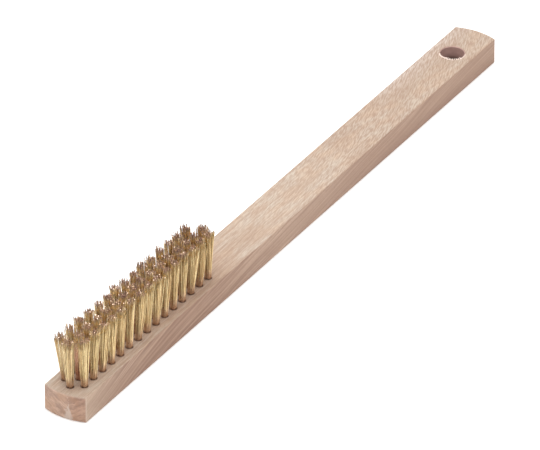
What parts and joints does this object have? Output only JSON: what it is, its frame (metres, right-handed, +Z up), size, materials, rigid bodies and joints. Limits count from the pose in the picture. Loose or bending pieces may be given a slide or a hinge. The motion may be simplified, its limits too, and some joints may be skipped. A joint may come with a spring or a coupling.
{
  "type": "wire brush",
  "caption": "Hand scratch brush: straight wooden block with staggered rows of straight brass wire tufts and a hanging hole, for cleaning metal and welds.",
  "frame": {"origin": "centre of the block's flat back face, under the middle of its length and width", "axes": "+X along the block from the tuft end to the hanging-hole end, +Y across the block, +Z up out of the face that carries the wire"},
  "size_m": [0.33, 0.02, 0.0355],
  "materials": {
    "wood": "matte",
    "brass_wire": "satin",
    "anchor_steel": "satin"
  },
  "bodies": {
    "root": {"handle_block": "wood", "tuft_right_01": "brass_wire", "tuft_right_02": "brass_wire", "tuft_right_03": "brass_wire", "tuft_right_04": "brass_wire", "tuft_right_05": "brass_wire", "tuft_right_06": "brass_wire", "tuft_right_07": "brass_wire", "tuft_right_08": "brass_wire", "tuft_right_09": "brass_wire", "tuft_right_10": "brass_wire", "tuft_right_11": "brass_wire", "tuft_right_12": "brass_wire", "tuft_right_13": "brass_wire", "tuft_right_14": "brass_wire", "tuft_right_15": "brass_wire", "tuft_middle_01": "brass_wire", "tuft_middle_02": "brass_wire", "tuft_middle_03": "brass_wire", "tuft_middle_04": "brass_wire", "tuft_middle_05": "brass_wire", "tuft_middle_06": "brass_wire", "tuft_middle_07": "brass_wire", "tuft_middle_08": "brass_wire", "tuft_middle_09": "brass_wire", "tuft_middle_10": "brass_wire", "tuft_middle_11": "brass_wire", "tuft_middle_12": "brass_wire", "tuft_middle_13": "brass_wire", "tuft_middle_14": "brass_wire", "tuft_middle_15": "brass_wire", "tuft_middle_16": "brass_wire", "tuft_left_01": "brass_wire", "tuft_left_02": "brass_wire", "tuft_left_03": "brass_wire", "tuft_left_04": "brass_wire", "tuft_left_05": "brass_wire", "tuft_left_06": "brass_wire", "tuft_left_07": "brass_wire", "tuft_left_08": "brass_wire", "tuft_left_09": "brass_wire", "tuft_left_10": "brass_wire", "tuft_left_11": "brass_wire", "tuft_left_12": "brass_wire", "tuft_left_13": "brass_wire", "tuft_left_14": "brass_wire", "tuft_left_15": "brass_wire", "anchors_right": "anchor_steel", "anchors_middle": "anchor_steel", "anchors_left": "anchor_steel"}
  },
  "joints": []
}
